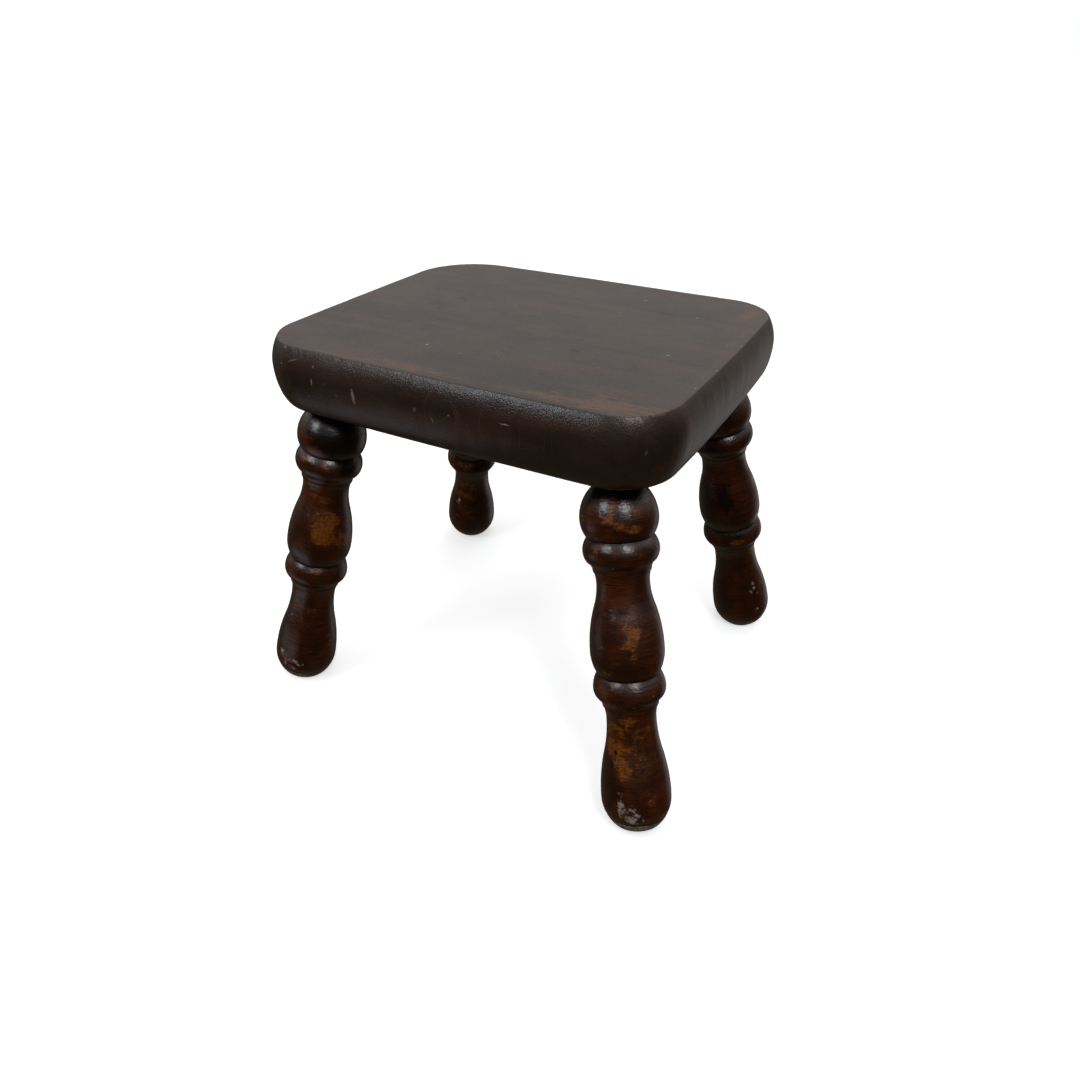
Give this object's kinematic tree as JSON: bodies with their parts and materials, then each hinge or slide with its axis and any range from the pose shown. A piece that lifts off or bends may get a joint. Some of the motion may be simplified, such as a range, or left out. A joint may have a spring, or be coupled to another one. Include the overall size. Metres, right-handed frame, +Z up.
{
  "type": "milking stool",
  "caption": "Low wooden stool: a thick rounded rectangular seat of glued boards on splayed turned legs let into its underside.",
  "frame": {"origin": "on the floor, under the middle of the stool's bounding box", "axes": "+X along the seat's long side, from the left legs to the right ones seen from the front; +Y from front to rear; +Z up"},
  "size_m": [0.3016, 0.2643, 0.245],
  "materials": {
    "seat_wood": "dark brown stain under worn satin varnish",
    "leg_wood": "dark red-brown glossy varnish, worn through to amber wood in patches"
  },
  "bodies": {
    "root": {"seat_board_front": "seat_wood", "seat_board_middle": "seat_wood", "seat_board_rear": "seat_wood", "leg_front_right": "leg_wood", "leg_front_left": "leg_wood", "leg_rear_right": "leg_wood", "leg_rear_left": "leg_wood"}
  },
  "joints": []
}
